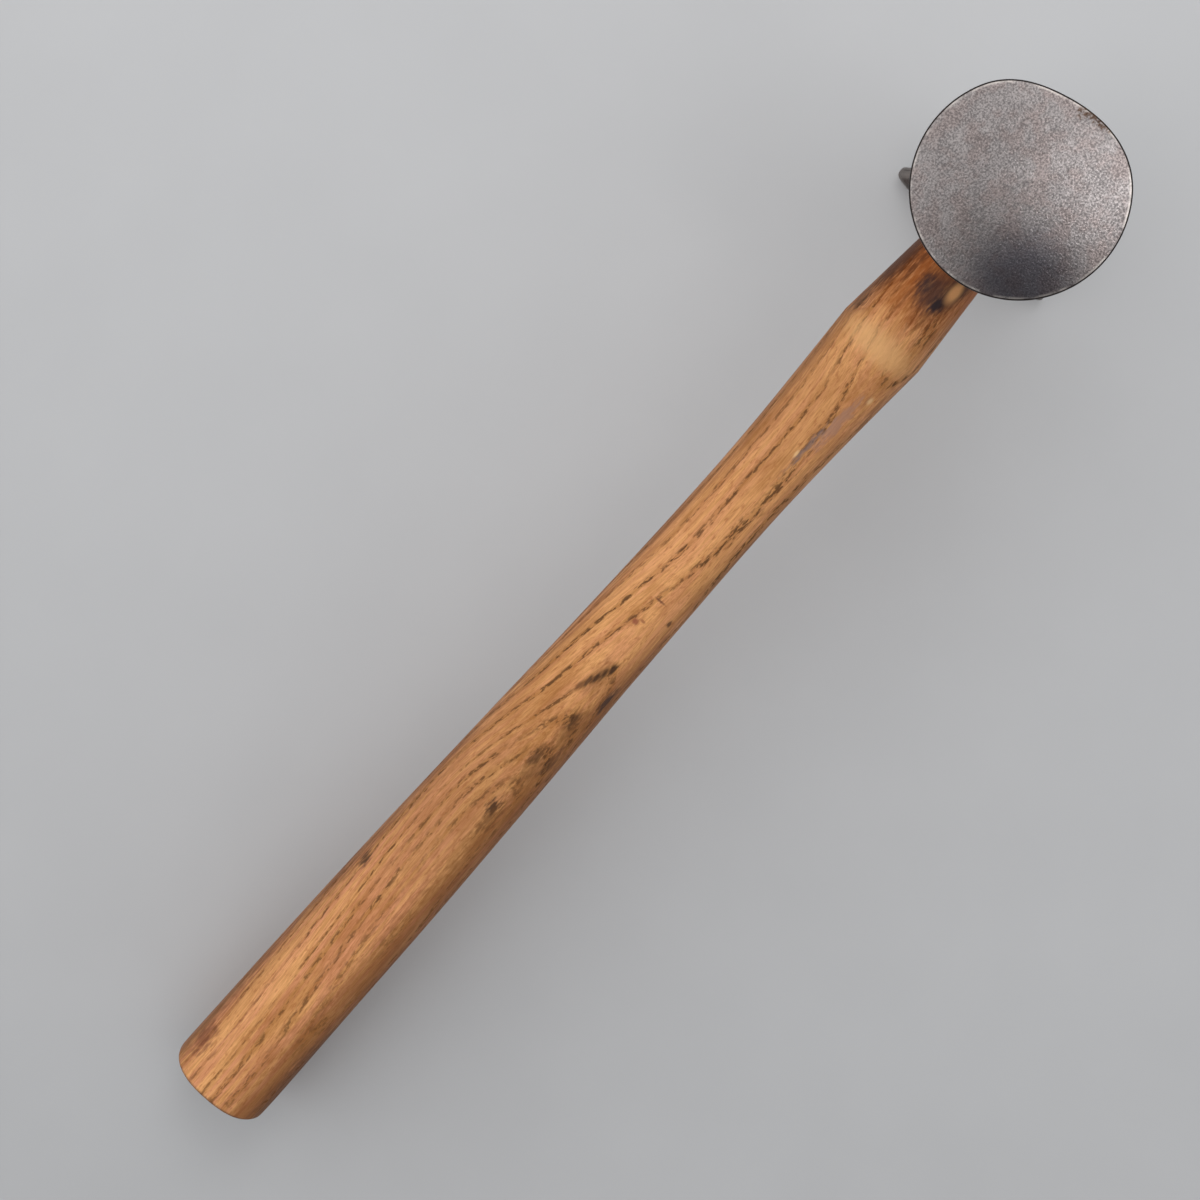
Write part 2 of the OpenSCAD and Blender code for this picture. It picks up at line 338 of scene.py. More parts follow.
def spread(a, b):
    """Spreads points evenly round a closed outline."""
    a, b = np.append(a, a[0]), np.append(b, b[0])
    run = np.concatenate([[0.0], np.cumsum(np.hypot(np.diff(a), np.diff(b)))])
    at = np.linspace(0.0, run[-1], SIDES, endpoint=False)
    return np.interp(at, run, a), np.interp(at, run, b)


def oval(half_a, half_b, fullness):
    """Points round a superellipse."""
    turn = np.linspace(0.0, 2.0 * np.pi, OUTLINE_POINTS, endpoint=False)
    power = 2.0 / fullness
    a = half_a * np.sign(np.cos(turn)) * np.abs(np.cos(turn)) ** power
    b = half_b * np.sign(np.sin(turn)) * np.abs(np.sin(turn)) ** power
    return spread(a, b)


def ring_at(at, across, up):
    """A flat ring of points, square to the handle."""
    return np.stack([np.full(SIDES, at), across, up], axis=1)


def push_in(ring, depth):
    """Moves the points of a flat ring toward its middle."""
    ring[:, 1:] *= (1 - depth / np.hypot(ring[:, 1], ring[:, 2]))[:, None]
    return ring


def skin(name, rings):
    """A closed mesh object through rings of points. Strips across its short way close each end."""
    _, wide, high = np.ptp(rings[-1], axis=0)
    if high > wide:
        rings = [np.roll(ring, -SIDES // 4, axis=0) for ring in rings]
    faces = []
    for first in range(0, (len(rings) - 1) * SIDES, SIDES):
        for i in range(SIDES):
            on = (i + 1) % SIDES
            faces.append((first + i, first + on, first + SIDES + on, first + SIDES + i))
    last = (len(rings) - 1) * SIDES
    half = SIDES // 2
    strips = [(0, SIDES - 1, 1), (half - 1, half + 1, half)]
    strips += [(i, SIDES - i, SIDES - i - 1, i + 1) for i in range(1, half - 1)]
    faces += strips
    faces += [tuple(last + i for i in reversed(strip)) for strip in strips]
    mesh = bpy.data.meshes.new(name)
    mesh.from_pydata(place(np.concatenate(rings)).tolist(), [], faces)
    made = bpy.data.objects.new(name, mesh)
    bpy.context.scene.collection.objects.link(made)
    return made


print("rings have", SIDES, "points")

# %% [markdown]
# A Boolean modifier cuts one solid with another. Where two skins nearly meet it leaves slivers,
# which show as specks in the shading and as stray faces in an exported mesh, so each cut is
# cleaned: points closer than a sliver are merged, and the many-sided faces that are left become
# triangles.

# %% Cut and dress helpers
SLIVER = 0.005
SHARP_OVER = 35.0


def carve(piece, tool):
    """Cuts a piece with another solid, removes that solid, and cleans the slivers off the cut."""
    step = piece.modifiers.new("carve", "BOOLEAN")
    step.operation = "DIFFERENCE"
    step.object = tool
    bpy.context.view_layer.objects.active = piece
    bpy.ops.object.modifier_apply(modifier=step.name)
    bpy.data.objects.remove(tool)
    shell = bmesh.new()
    shell.from_mesh(piece.data)
    bmesh.ops.remove_doubles(shell, verts=shell.verts[:], dist=SLIVER * MM)
    bmesh.ops.dissolve_degenerate(shell, edges=shell.edges[:], dist=SLIVER * MM)
    bmesh.ops.triangulate(shell, faces=[face for face in shell.faces if len(face.verts) > 4])
    shell.to_mesh(piece.data)
    shell.free()


def dress(piece, material):
    """Gives a piece its material and smooth shading, but keeps edges crisp that turn sharply."""
    piece.data.materials.append(material)
    piece.data.shade_smooth()
    piece.data.set_sharp_from_angle(angle=np.radians(SHARP_OVER))
    print(material.name, "on", piece.name)


def hills(points, size):
    """Smooth noise between 0 and 1 at points, with hills of a size in millimetres."""
    return np.array([0.5 + 0.5 * noise.noise(point) for point in np.asarray(points) / size])


print("slivers under", SLIVER, "mm are merged")

# %% [markdown]
# ## The handle
# A handle like this is split from ash and shaped with a drawknife and a spokeshave. It is
# thickest at the butt, narrows to a throat behind the head, swells to a shoulder and tapers down
# to the eye. The shoulder is the one crisp turn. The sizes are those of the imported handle.

# %% Line of the handle
BUTT, PALM, THROAT, SHOULDER = (24.5, 31.5), (22.6, 29.4), (17.6, 23.6), (21.0, 28.0)
PALM_AT, THROAT_AT, SHOULDER_AT = 70.0, 179.0, 226.0
EYE_W, EYE_H, EYE_FLARE = 15.0, 23.0, 0.5
CHEEK_DEPTH = 25.0
SEAT_STEP = 0.45
DRIVE_FIT = 0.05
TENON_PROUD = 1.2
NECK = (EYE_W + 2 * SEAT_STEP, EYE_H + 2 * SEAT_STEP)
NECK_END = HANDLE_L - CHEEK_DEPTH / 2 - DRIVE_FIT
TENON_END = HANDLE_L + CHEEK_DEPTH / 2 + TENON_PROUD


def curve_between(a, b, slope_a, slope_b, span, share):
    """A curve between two values with a slope at each end."""
    rise = span * share * (1 - share) * (slope_a * (1 - share) - slope_b * share)
    return a * (1 + 2 * share) * (1 - share) ** 2 + b * share**2 * (3 - 2 * share) + rise


def handle_size(at, which):
    """Width (0) or depth (1) of the handle at a distance from the butt."""
    butt_size, palm, throat, shoulder = BUTT[which], PALM[which], THROAT[which], SHOULDER[which]
    palm_slope = (throat - butt_size) / THROAT_AT
    if at < PALM_AT:
        slope = 2 * (palm - butt_size) / PALM_AT - palm_slope
        return curve_between(butt_size, palm, slope, palm_slope, PALM_AT, at / PALM_AT)
    if at < THROAT_AT:
        span = THROAT_AT - PALM_AT
        return curve_between(palm, throat, palm_slope, 0.0, span, (at - PALM_AT) / span)
    if at < SHOULDER_AT:
        span = SHOULDER_AT - THROAT_AT
        slope = 1.5 * (shoulder - throat) / span
        return curve_between(throat, shoulder, 0.0, slope, span, (at - THROAT_AT) / span)
    return np.interp(at, (SHOULDER_AT, NECK_END), (shoulder, NECK[which]))


print(f"throat {handle_size(THROAT_AT, 0):.1f} mm wide, shoulder {handle_size(SHOULDER_AT, 0):.1f} mm")

# %% [markdown]
# Years of use leave the surface a little wavy, with the butt's corners rubbed unevenly and a few
# dents and chips. A dent is pushed in like a thumbprint: where it lies along and across the upper
# side, its two radii and its depth. Everything pushes inward, and the butt is set back a hair, so
# the handle stays inside its true size. The tenon that fills the eye is an upright slot shape
# with round ends.

# %% Handle
HANDLE_FULLNESS = 2.4
BUTT_EDGE_R, BUTT_BACK = 1.3, 0.12
BUTT_RUB, BUTT_RUB_REACH, BUTT_RUB_SIZE = 0.3, 2.5, 7.0
WAVE_DEPTH, WAVE_SIZE = 0.22, (34.0, 9.0, 9.0)
HANDLE_DENTS = (
    ("gash", 132.0, -2.9, 2.6, 0.8, 0.4),
    ("rubbed edge", 128.0, -8.2, 5.0, 1.2, 0.35),
    ("splinter", 196.0, -2.0, 3.0, 0.6, 0.22),
    ("chip", 215.2, -6.8, 1.8, 0.7, 0.3),
    ("shoulder chip", 230.0, 8.3, 1.8, 1.2, 0.4),
    ("palm dent", 66.0, 9.2, 2.2, 1.4, 0.2),
    ("thumb dent", 94.5, -4.6, 2.0, 1.6, 0.15),
    ("nick", 153.0, -1.8, 0.7, 1.8, 0.16),
)


def handle_ring(at, inset=0.0):
    """One ring of the handle, with its waves, dents and rubbed corners."""
    half_w, half_h = handle_size(at, 0) / 2 - inset, handle_size(at, 1) / 2 - inset
    across, up = oval(half_w, half_h, HANDLE_FULLNESS)
    ring = ring_at(at, across, up)
    depth = WAVE_DEPTH * hills(ring, WAVE_SIZE)
    right_side = np.maximum(0.0, across / across.min())
    rub = 0.5 * (hills(ring * (0, 1, 1), BUTT_RUB_SIZE) + right_side)
    depth += BUTT_RUB * np.exp(-at / BUTT_RUB_REACH) * rub
    for _, dent_at, dent_across, radius_at, radius_across, dent_depth in HANDLE_DENTS:
        far = ((at - dent_at) / radius_at) ** 2 + ((across - dent_across) / radius_across) ** 2
        depth += dent_depth * np.exp(-far) * (up > 0)
    return push_in(ring, depth)


print(len(HANDLE_DENTS), "dents in the handle")

# %% Tenon and rings of the handle
TENON_EASE, TENON_EASE_MID = 0.4, 0.1
EDGE_STEPS, GRIP_RINGS, NECK_RINGS, TENON_RINGS = 9, 260, 36, 16


def slot_radius(at):
    """Radius of the round ends of the eye, which flares toward the outer end."""
    return EYE_W / 2 + EYE_FLARE * ((at - HANDLE_L) / CHEEK_DEPTH + 0.5)


def slot_ring(at, inset):
    """One ring of the tenon or the eye."""
    radius = slot_radius(at) - inset
    turn = np.linspace(0.0, 2.0 * np.pi, OUTLINE_POINTS // 2, endpoint=False)
    up = radius * np.sin(turn) + (EYE_H - EYE_W) / 2 * np.sign(np.round(np.sin(turn), 9))
    return ring_at(at, *spread(radius * np.cos(turn), up))


edge_turns = np.radians(np.linspace(90.0, 0.0, EDGE_STEPS))
edge_rise, edge_inset = BUTT_EDGE_R * (1 - np.sin(edge_turns)), BUTT_EDGE_R * (1 - np.cos(edge_turns))
rings = [handle_ring(BUTT_BACK + rise, inset) for rise, inset in zip(edge_rise, edge_inset)]
grip = np.linspace(BUTT_BACK + BUTT_EDGE_R, SHOULDER_AT, GRIP_RINGS)[1:]
neck = np.linspace(SHOULDER_AT, NECK_END, NECK_RINGS)[1:]
rings += [handle_ring(at) for at in [*grip, *neck]]
tenon = np.linspace(NECK_END, TENON_END - TENON_EASE, TENON_RINGS)
rings += [slot_ring(at, DRIVE_FIT) for at in tenon]
rings.append(slot_ring(TENON_END - TENON_EASE_MID, DRIVE_FIT + TENON_EASE_MID))
rings.append(slot_ring(TENON_END, DRIVE_FIT + TENON_EASE))
handle = skin("ash_handle", rings)
print("handle has", len(handle.data.polygons), "faces")

# %% [markdown]
# ## The wedges
# The tenon is split by a saw kerf. A wooden wedge driven into it spreads the tenon in the flared
# eye, and a steel wedge driven across that one locks it. Both are tapered slabs with a broken
# outer end. The kerf is cut with the same slab a hair larger, so that the wedge sits in it as it
# would after driving.

# %% Wedges
WOOD_WEDGE_L, WOOD_WEDGE_T = 20.0, 3.4
STEEL_WEDGE_L, STEEL_WEDGE_T, STEEL_WEDGE_W = 13.0, 2.2, 10.5
WEDGE_TIP_T = 0.7
WEDGE_FULLNESS = 12.0
WEDGE_RINGS, WEDGE_END_STEPS = 24, (0.3, 0.12, 0.0)
BURR, BURR_SIZE, BURR_REACH = 0.25, 1.6, 0.4
CUT_BEYOND = 3.0


def tenon_top(at, across):
    """How far the tenon reaches up, at a distance across its middle."""
    radius = slot_radius(at) - 2 * DRIVE_FIT
    return (EYE_H - EYE_W) / 2 + np.sqrt(radius**2 - across**2)


def wedge_skin(name, length, thick, wide, upright, fit=0.0, beyond=0.0, burr=0.0):
    """A tapered slab driven in from the end of the tenon. The burr eases its outer end, in millimetres.
    With no width given, it stands as high as the tenon does."""
    inner = np.linspace(-length - fit, beyond - 0.5, WEDGE_RINGS)
    rings = []
    for station in [*inner, *(beyond - np.array(WEDGE_END_STEPS))]:
        at = TENON_END + station
        half_t = (thick + (thick - WEDGE_TIP_T) * station / length) / 2 + fit
        half_w = wide / 2 + fit if wide else tenon_top(at, half_t)
        halves = (half_t, half_w) if upright else (half_w, half_t)
        across, up = oval(*halves, WEDGE_FULLNESS)
        if not wide:
            up = up * tenon_top(at, across) / half_w
        ring = ring_at(at, across, up)
        depth = burr * hills(ring, BURR_SIZE) * (0.3 + np.exp((station - beyond) / BURR_REACH))
        rings.append(push_in(ring, depth))
    return skin(name, rings)


steel_wedge_size = (STEEL_WEDGE_L, STEEL_WEDGE_T, STEEL_WEDGE_W, False)
wooden_wedge = wedge_skin("kerf_wedge", WOOD_WEDGE_L, WOOD_WEDGE_T, None, True, burr=BURR)
kerf_size = (WOOD_WEDGE_L, WOOD_WEDGE_T, 2 * EYE_H, True)
carve(handle, wedge_skin("kerf", *kerf_size, fit=DRIVE_FIT, beyond=CUT_BEYOND))
for piece in (handle, wooden_wedge):
    carve(piece, wedge_skin("steel_slot", *steel_wedge_size, fit=DRIVE_FIT, beyond=CUT_BEYOND))
steel_wedge = wedge_skin("cross_wedge", *steel_wedge_size, burr=BURR)
print("wedges have", len(wooden_wedge.data.polygons), "and", len(steel_wedge.data.polygons), "faces")

# %% [markdown]
# ## The head
# The head is one forging. From the top: a shallow dome, an eased edge, a straight rim, a cove
# that narrows to a round neck, a collar, flat cheeks round the eye, a waist, and the pein, which
# fans out and curls back toward the handle. It is lofted in one go from the dome down to the pein
# edge. One side of the rim is worn: there the outline follows a flatter curve, with a chip in its
# edge.

# %% Outline of the face
FACE_R, CROWN, EDGE_R, RIM_H = 22.0, 2.2, 0.5, 3.6
WEAR, WEAR_TURN, WEAR_TO_LEFT, WEAR_TO_RIGHT = 1.93, 12.0, 50.0, 63.0

dome_r = (FACE_R**2 + CROWN**2) / (2 * CROWN)
dome_up = FACE_TOP - dome_r


def rim_radius(turn):
    """Radius of the rim at an angle from the line of the handle, with its worn side."""
    off = np.degrees(np.angle(np.exp(1j * (turn - np.radians(WEAR_TURN)))))
    share = np.where(off > 0, off / WEAR_TO_LEFT, -off / WEAR_TO_RIGHT)
    return FACE_R - WEAR * (0.5 + 0.5 * np.cos(np.pi * np.clip(share, 0.0, 1.0)))


turns = np.linspace(0.0, 2.0 * np.pi, SIDES, endpoint=False)
rim_line = rim_radius(np.pi / 2 - turns)
print(f"rim {2 * FACE_R:.0f} mm across, {rim_line.min():.2f} mm from the middle at its worn side")

# %% Rings of the face, rim and neck
NECK_R, NECK_RUN = 10.25, 2.0
CHEEK_H, COLLAR_H = 25.0, 6.5
DOME_RINGS, EDGE_RINGS, RIM_RINGS, COVE_RINGS = 48, 10, 9, 34


def round_ring(radius, up):
    """A ring about the head's own axis. Its radius and height may change round it."""
    radius = np.broadcast_to(radius, SIDES)
    up = np.broadcast_to(up, SIDES)
    return np.stack([HANDLE_L + radius * np.sin(turns), radius * np.cos(turns), up], axis=1)


cheek_top = CHEEK_H / 2 + COLLAR_H
edge_middle = rim_line - EDGE_R
edge_up = dome_up + np.sqrt((dome_r - EDGE_R) ** 2 - edge_middle**2)
edge_lean = np.arctan2(edge_middle, edge_up - dome_up)
rim_low = edge_up.min() - RIM_H
cove_low = cheek_top + NECK_RUN
cove_h, cove_w = rim_low - cove_low, FACE_R - NECK_R
cove_r = (cove_w**2 + cove_h**2) / (2 * cove_w)

head_rings = []
for share in np.linspace(0.02, 1.0, DOME_RINGS):
    radius = share * edge_middle * dome_r / (dome_r - EDGE_R)
    head_rings.append(round_ring(radius, dome_up + np.sqrt(dome_r**2 - radius**2)))
for share in np.linspace(0.1, 1.0, EDGE_RINGS):
    lean = (np.pi / 2 - edge_lean) * (1 - share)
    radius = edge_middle + EDGE_R * np.cos(lean)
    head_rings.append(round_ring(radius, edge_up + EDGE_R * np.sin(lean)))
for share in np.linspace(0.1, 0.9, RIM_RINGS):
    head_rings.append(round_ring(rim_line, edge_up + (rim_low - edge_up) * share))
for lean in np.linspace(np.arcsin(cove_h / cove_r), 0.0, COVE_RINGS):
    radius = np.minimum(NECK_R + cove_r * (1 - np.cos(lean)), rim_line)
    head_rings.append(round_ring(radius, cove_low + cove_r * np.sin(lean)))
head_rings.append(round_ring(NECK_R, cheek_top + 0.8))
head_rings.append(round_ring(NECK_R + 0.1, cheek_top + 0.25))
print(len(head_rings), "rings from the dome to the neck")

# %% [markdown]
# Below the neck each ring is a rounded oblong, square to a middle line that curls back toward the
# handle. The width goes from the cheeks in to the waist and out to the fan, while the depth only
# ever thins.

# %% Sections of the cheeks and the pein
COLLAR_LIP = 0.5
CHEEK_W, CHEEK_BULGE = 26.0, 0.9
WAIST_W, WAIST_REACH = 19.0, 29.0
PEIN_REACH, PEIN_DROOP, PEIN_W, PEIN_T, PEIN_BOW = 60.0, 13.5, 45.0, 5.0, 0.8
DROOP_START = 10.0
COLLAR_FULLNESS, CHEEK_FULLNESS, WAIST_FULLNESS, EDGE_FULLNESS = 2.0, 5.0, 3.0, 4.0
THIN_POWER, FAN_POWER, DROOP_POWER = 2.2, 1.7, 1.9


def mix(a, b, share):
    """A value part of the way from one to another."""
    return a + (b - a) * share


def ease(share):
    """Starts and ends a change gently."""
    return share * share * (3 - 2 * share)


def spine(up):
    """The middle line of the lower head."""
    drop = max(0.0, (-up - DROOP_START) / (PEIN_REACH - DROOP_START))
    return np.array([HANDLE_L - PEIN_DROOP * drop**DROOP_POWER, up])


def lower_section(up):
    """Half width, half depth and fullness of the lower head at a height."""
    cheek_end = CHEEK_W / 2 - CHEEK_BULGE
    half_d = CHEEK_DEPTH / 2
    if up > CHEEK_H / 2:
        share = (up - CHEEK_H / 2) / COLLAR_H
        collar_r = NECK_R + COLLAR_LIP
        fullness = mix(CHEEK_FULLNESS, COLLAR_FULLNESS, share)
        return mix(cheek_end, collar_r, ease(share)), mix(half_d, collar_r, ease(share)), fullness
    if up > -CHEEK_H / 2:
        return CHEEK_W / 2 - CHEEK_BULGE * (2 * up / CHEEK_H) ** 2, half_d, CHEEK_FULLNESS
    thin = max(0.0, (PEIN_REACH + up) / (PEIN_REACH - CHEEK_H / 2)) ** THIN_POWER
    half_d = mix(PEIN_T / 2, half_d, thin)
    if up > -WAIST_REACH:
        share = (-up - CHEEK_H / 2) / (WAIST_REACH - CHEEK_H / 2)
        fullness = mix(CHEEK_FULLNESS, WAIST_FULLNESS, share)
        return mix(cheek_end, WAIST_W / 2, ease(share)), half_d, fullness
    share = (-up - WAIST_REACH) / (PEIN_REACH - WAIST_REACH)
    half_w = mix(WAIST_W, PEIN_W, share**FAN_POWER) / 2
    return half_w, half_d, mix(WAIST_FULLNESS, EDGE_FULLNESS, share)


print("waist", [round(float(v), 2) for v in lower_section(-WAIST_REACH)])

# %% Rings of the cheeks and the pein
LOWER_RINGS, PEIN_END_RINGS = 104, 9
SPINE_STEP = 0.1


def lower_ring(up, beyond=0.0):
    """A ring square to the spine. Past the spine's end it closes in round the pein edge."""
    half_w, half_d, fullness = lower_section(up)
    left = np.sqrt(1 - (beyond / (PEIN_T / 2)) ** 2)
    half_w -= PEIN_T / 2 * (1 - left)
    across, out = oval(half_w, half_d * left, fullness)
    bow = PEIN_BOW * max(0.0, (-up - CHEEK_H / 2) / (PEIN_REACH - CHEEK_H / 2))
    on = beyond - bow * (across / half_w) ** 2
    step = spine(up - SPINE_STEP) - spine(up + SPINE_STEP)
    way = step / np.linalg.norm(step)
    middle = spine(up)
    along = middle[0] + way[0] * on - way[1] * out
    return np.stack([along, across, middle[1] + way[1] * on + way[0] * out], axis=1)


head_rings += [lower_ring(up) for up in np.linspace(cheek_top, -PEIN_REACH, LOWER_RINGS)]
for turn in np.radians(np.linspace(10.0, 84.0, PEIN_END_RINGS)):
    head_rings.append(lower_ring(-PEIN_REACH, PEIN_T / 2 * np.sin(turn)))
print(len(head_rings), "rings in the whole head")

# %% [markdown]
# A forging is never quite flat. Slow noise pushes the cheeks and the pein in by a tenth of a
# millimetre or so, and the polished face by much less. The chip lowers the edge of the face at
# its worn side. Then the eye is cut: a tapered slot, eased at each mouth. Last, each point keeps
# how far it lies inside the rim, as an attribute that the material reads.

# %% Head with its eye
FORGE_DEPTH, FACE_DEPTH, FORGE_SIZE = 0.16, 0.02, 7.0
CHIP_TURN, CHIP_LENGTH, CHIP_WIDTH, CHIP_DEPTH, CHIP_SIZE = -4.0, 3.4, 1.1, 0.5, 0.9
MOUTH_EASE, MOUTH_IN, MOUTH_OUT, MOUTH_CLEAR = 0.5, 0.2, 0.45, 4.0


def inside_rim(points):
    """How far points lie inside the outline of the face, and how far round it from the chip."""
    along, across = points[:, 0] - HANDLE_L, points[:, 1]
    turn = np.arctan2(across, along)
    reach = np.hypot(along, across)
    return rim_radius(turn) - reach, reach * (turn - np.radians(CHIP_TURN))


def forged(ring):
    """Pushes a ring in a little, as hammer work leaves it, and breaks out the chip."""
    middle = ring.mean(axis=0)
    reach = np.maximum(np.linalg.norm(ring - middle, axis=1), 0.5)
    on_face = ring[:, 2] > rim_low
    depth = np.where(on_face, FACE_DEPTH, FORGE_DEPTH) * hills(ring, FORGE_SIZE)
    gap, round_rim = inside_rim(ring)
    chip = np.exp(-((gap / CHIP_WIDTH) ** 2) - (round_rim / CHIP_LENGTH) ** 2)
    chip *= hills(ring, CHIP_SIZE)
    ring = middle + (ring - middle) * (1 - depth / reach)[:, None]
    ring[:, 2] -= CHIP_DEPTH * chip * on_face
    return ring


head = skin("forged_head", [forged(ring) for ring in head_rings])
near, far = HANDLE_L - CHEEK_DEPTH / 2, HANDLE_L + CHEEK_DEPTH / 2
steps = ((MOUTH_CLEAR, MOUTH_EASE), (MOUTH_OUT, MOUTH_EASE), (-MOUTH_IN, 0.0))
mouths = [(near - out, grown) for out, grown in steps]
mouths += [(far + out, grown) for out, grown in reversed(steps)]
carve(head, skin("eye", [slot_ring(at, -grown) for at, grown in mouths]))

points = np.empty(len(head.data.vertices) * 3)
head.data.vertices.foreach_get("co", points)
points = measure(points.reshape(-1, 3))
gap, _ = inside_rim(points)
head.data.attributes.new("inside_rim", "FLOAT", "POINT").data.foreach_set("value", gap)
print("head has", len(head.data.polygons), "faces")

# %% [markdown]
# Edges that stand out are rubbed bright. How sharply the skin bulges at a point follows from its
# neighbours: along each edge of the mesh, the turn of the normal over the length of the step.
# Cycles can give a similar value as Pointiness, but an attribute works the same everywhere.

# %% Bulging edges
SHORT_STEP = 0.2

normals = np.empty(len(head.data.vertices) * 3)
head.data.vertex_normals.foreach_get("vector", normals)
normals = normals.reshape(-1, 3) @ np.array([ALONG, ACROSS, UP]).T
ends = np.empty(len(head.data.edges) * 2, int)
head.data.edges.foreach_get("vertices", ends)
one, other = ends.reshape(-1, 2).T
step = points[other] - points[one]
length_squared = np.maximum((step**2).sum(axis=1), SHORT_STEP**2)
bend = ((normals[other] - normals[one]) * step).sum(axis=1) / length_squared
bulge = np.zeros(len(points))
np.maximum.at(bulge, one, bend)
np.maximum.at(bulge, other, bend)
head.data.attributes.new("bulge", "FLOAT", "POINT").data.foreach_set("value", bulge)
usual, sharp = np.percentile(bulge, [50, 90])
print(f"bulge of the middle point {usual:.3f}, of the sharpest tenth {sharp:.3f}")

# %% [markdown]
# ## Patterns in the hammer's own axes
# Grain, stains and rust belong to places on the hammer, so every pattern is laid out in its own
# axes, in millimetres. A Mapping node of the Texture kind does the turn: it takes away the butt's
# place, turns the axes level and divides by the scale.

# %% Place node
axes_turn = Matrix((ALONG, ACROSS, UP)).transposed().to_euler()


def hammer_place(tree):
    """Where a point lies: along, across and up, in millimetres from the butt."""
    spot = add(tree, "TexCoord").outputs["Object"]
    turn = {"Location": tuple(butt), "Rotation": axes_turn, "Scale": (MM, MM, MM)}
    return add(tree, "Mapping", vector_type="TEXTURE", Vector=spot, **turn).outputs[0]


print("axes turned by", [round(v, 2) for v in np.degrees(axes_turn)], "degrees")

# %% [markdown]
# ## A mark
# Stains, knots, chips and worn spots are all the same thing to a shader: a soft spot of some size
# at some place, with a ragged edge. So it is one node group, and each material places it as often
# as it needs.

# %% Mark group
mark, given, out = new_group(
    "mark",
    {"Place": "Vector", "Middle": "Vector", "Reach": "Vector", "Waver": "Float", "Ragged": "Float"},
    {"Mask": "Float"},
)
off = vector_calc(mark, "SUBTRACT", given["Place"], given["Middle"])
far = vector_calc(mark, "LENGTH", vector_calc(mark, "DIVIDE", off, given["Reach"]), output=1)
far = calc(mark, "MULTIPLY_ADD", given["Waver"], given["Ragged"], far)
join(mark, out["Mask"], between(mark, far, 0.25, 1.0, 1.0, 0.0))


def waver(tree, place_mm):
    """Noise about zero that makes the edges of marks ragged."""
    return calc(tree, "SUBTRACT", streaky(tree, place_mm, 2.4, 0.6, detail=4.0), 0.5)


def spot_mask(tree, place_mm, ragged_edge, middle, reach, ragged):
    """The mask of one mark, from its place, its reach along each axis and how ragged it is."""
    spot = {"Middle": middle, "Reach": reach, "Ragged": ragged}
    return use_group(tree, mark, Place=place_mm, Waver=ragged_edge, **spot)["Mask"]


print("group", mark.name, "gives", [socket.name for socket in out if socket.name])

# %% [markdown]
# ## Ring-porous grain
# Ash grows a band of wide pores each spring, and dense pale wood after it. Cut along, the pores
# show as rows of fuzzy dark dashes, close together where the rings meet the surface square and
# far apart where they graze it. Real rings are cylinders about the pith, so the group measures
# the distance from a pith line beside the handle. A wave texture would give stripes, but not the
# way they open out round a curved side. A tree may grow narrow rings when it is young and wide
# ones later, so the group takes two widths.

# %% Rings
WARP, WARP_LENGTH, WARP_WIDTH = 1.3, 45.0, 12.0
JITTER, JITTER_LENGTH, JITTER_WIDTH = 0.22, 3.0, 0.7

grain, given, out = new_group(
    "ring_porous_grain",
    {
        "Place": "Vector",
        "Pith": "Vector",
        "Young Radius": "Float",
        "Young Ring": "Float",
        "Old Ring": "Float",
    },
    {"Row": "Float", "Pores": "Float", "Fibre": "Float"},
)
slow = stretch(grain, given["Place"], WARP_LENGTH, WARP_WIDTH)
warp = add(grain, "TexNoise", Vector=slow, Scale=1.0, Detail=2.0)
warp = vector_calc(grain, "SUBTRACT", warp.outputs["Color"], (0.5, 0.5, 0.5))
warped = vector_calc(grain, "MULTIPLY_ADD", warp, (0.0, WARP, WARP), given["Place"])
from_pith = vector_calc(grain, "SUBTRACT", warped, given["Pith"])
from_pith = vector_calc(grain, "MULTIPLY", from_pith, (0.0, 1.0, 1.0))
reach = vector_calc(grain, "LENGTH", from_pith, output=1)
young = calc(grain, "MINIMUM", reach, given["Young Radius"])
old = calc(grain, "SUBTRACT", reach, young)
young_count = calc(grain, "DIVIDE", young, given["Young Ring"])
ring = calc(grain, "ADD", young_count, calc(grain, "DIVIDE", old, given["Old Ring"]))
jitter = calc(grain, "SUBTRACT", streaky(grain, warped, JITTER_LENGTH, JITTER_WIDTH), 0.5)
ring = calc(grain, "MULTIPLY_ADD", jitter, JITTER, ring)
is_old = calc(grain, "GREATER_THAN", old, 0.0)
ring_width = add(grain, "Mix", Factor=is_old, A=given["Young Ring"], B=given["Old Ring"]).outputs[0]
into_ring = times(grain, calc(grain, "FRACT", ring), ring_width)
ring_count = calc(grain, "FLOOR", ring)
ring_tone = add(grain, "TexWhiteNoise", noise_dimensions="1D", W=ring_count).outputs["Value"]
print("group", grain.name, "takes", len(given) - 1, "values")

# %% [markdown]
# The pores of one spring fill the first millimetre of its ring. Noise drawn out along the grain
# breaks that row into dashes, and slower noise makes some stretches strong and others faint.
# Fibres are finer and longer.

# %% Pores and fibres
PORE_LENGTH, PORE_WIDTH = 2.1, 0.6
FIBRE_LENGTH, FIBRE_WIDTH = 6.5, 0.36
FAINT_LENGTH, FAINT_WIDTH = 17.0, 2.6
ROW_RISE, ROW_FALL = (0.0, 0.25), (0.6, 1.45)

